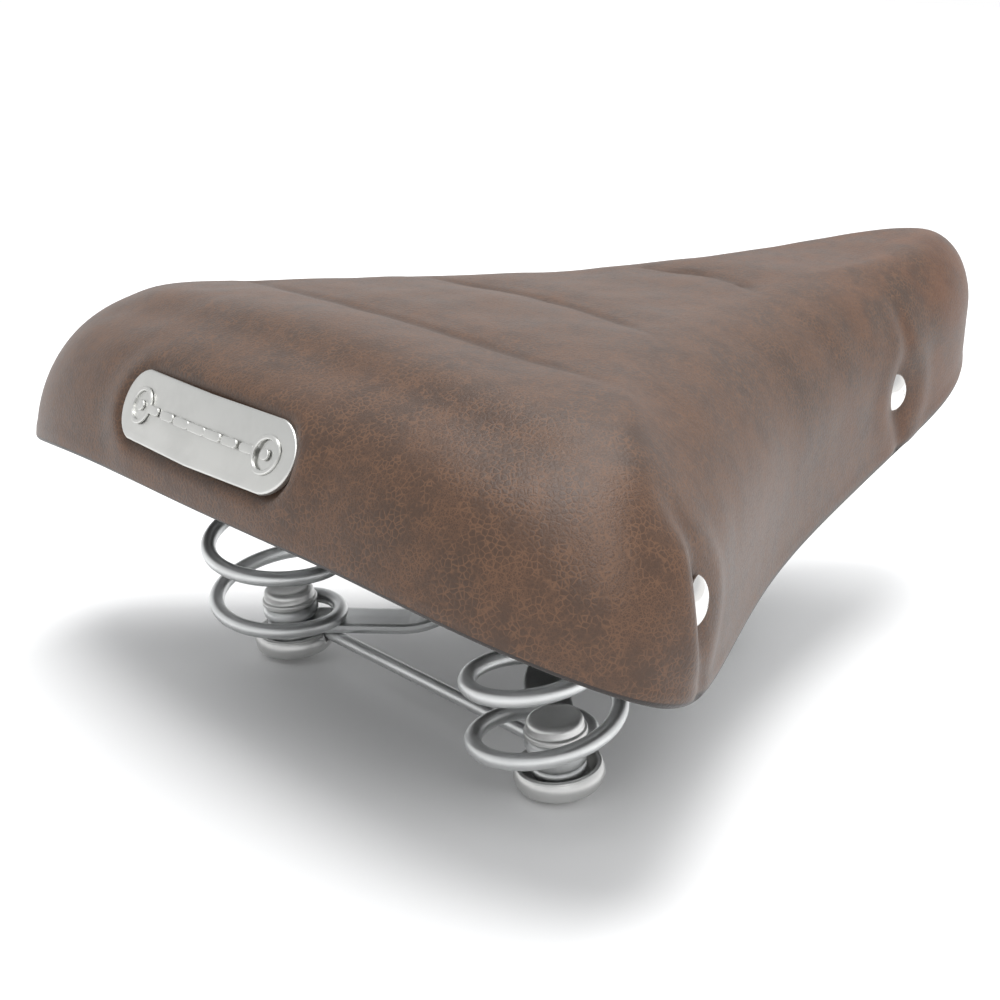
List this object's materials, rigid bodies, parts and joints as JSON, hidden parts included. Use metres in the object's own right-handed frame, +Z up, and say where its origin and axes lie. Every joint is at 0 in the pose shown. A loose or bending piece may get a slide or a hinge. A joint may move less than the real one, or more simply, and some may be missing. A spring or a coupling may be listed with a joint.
{
  "type": "bicycle saddle",
  "caption": "Padded bicycle saddle with a wide rear on two coil springs, a narrow nose on a hinge, twin rails and a serrated seat-post clamp.",
  "frame": {"origin": "on the axis of the seat-post bore, halfway along it", "axes": "+X towards the nose, +Y to the left, +Z up with the seat level"},
  "size_m": [0.2647, 0.2216, 0.1085],
  "materials": {
    "cover_leather": "satin",
    "foam": "matte",
    "pan_plastic": "matte",
    "plate_metal": "satin",
    "polished_metal": "polished",
    "pressed_steel": "satin",
    "fastener_steel": "satin",
    "chrome_fastener": "polished",
    "spring_wire": "satin",
    "rail_chrome": "satin",
    "clamp_steel": "satin"
  },
  "bodies": {
    "collar": {"post_ring": "clamp_steel", "clamp_bolt": "fastener_steel", "clamp_washers": "fastener_steel", "clamp_nuts": "fastener_steel"},
    "rail_cups": {"inner_cup_left": "clamp_steel", "inner_cup_right": "clamp_steel", "outer_cup_left": "clamp_steel", "outer_cup_right": "clamp_steel"},
    "chassis": {"rail_left": "rail_chrome", "rail_right": "rail_chrome", "cross_wire": "spring_wire", "foot_bolts": "chrome_fastener", "cap_nuts": "chrome_fastener", "spring_left": "spring_wire", "spring_right": "spring_wire", "nose_pin": "chrome_fastener", "nose_nut": "chrome_fastener", "nose_spacer": "fastener_steel"},
    "seat": {"cover": "cover_leather", "padding": "foam", "base_pan": "pan_plastic", "rear_plate": "plate_metal", "plate_pins": "polished_metal", "cover_rivets": "polished_metal", "spring_bracket": "pressed_steel", "bracket_screws": "fastener_steel", "top_bolts": "chrome_fastener", "top_washers": "chrome_fastener", "top_nuts": "chrome_fastener", "nose_bracket": "pressed_steel", "nose_screws": "fastener_steel"}
  },
  "joints": [
    {"name": "tilt", "type": "hinge", "parent": "collar", "child": "rail_cups", "pos_m": [-0.02371, 0, 0.0084], "axis": [0, 1, 0], "range_deg": [-12, 12]},
    {"name": "setback", "type": "slide", "parent": "rail_cups", "child": "chassis", "axis": [0.9863, 0, 0.165], "range_m": [-0.018, 0.002]},
    {"name": "seat_rock", "type": "hinge", "parent": "chassis", "child": "seat", "pos_m": [0.07063, 0, 0.03838], "axis": [0, -1, 0], "range_deg": [0, 7], "stiffness_Nm_per_rad": 880, "springref_deg": -0.23, "deforming": ["spring_left", "spring_right"]}
  ]
}
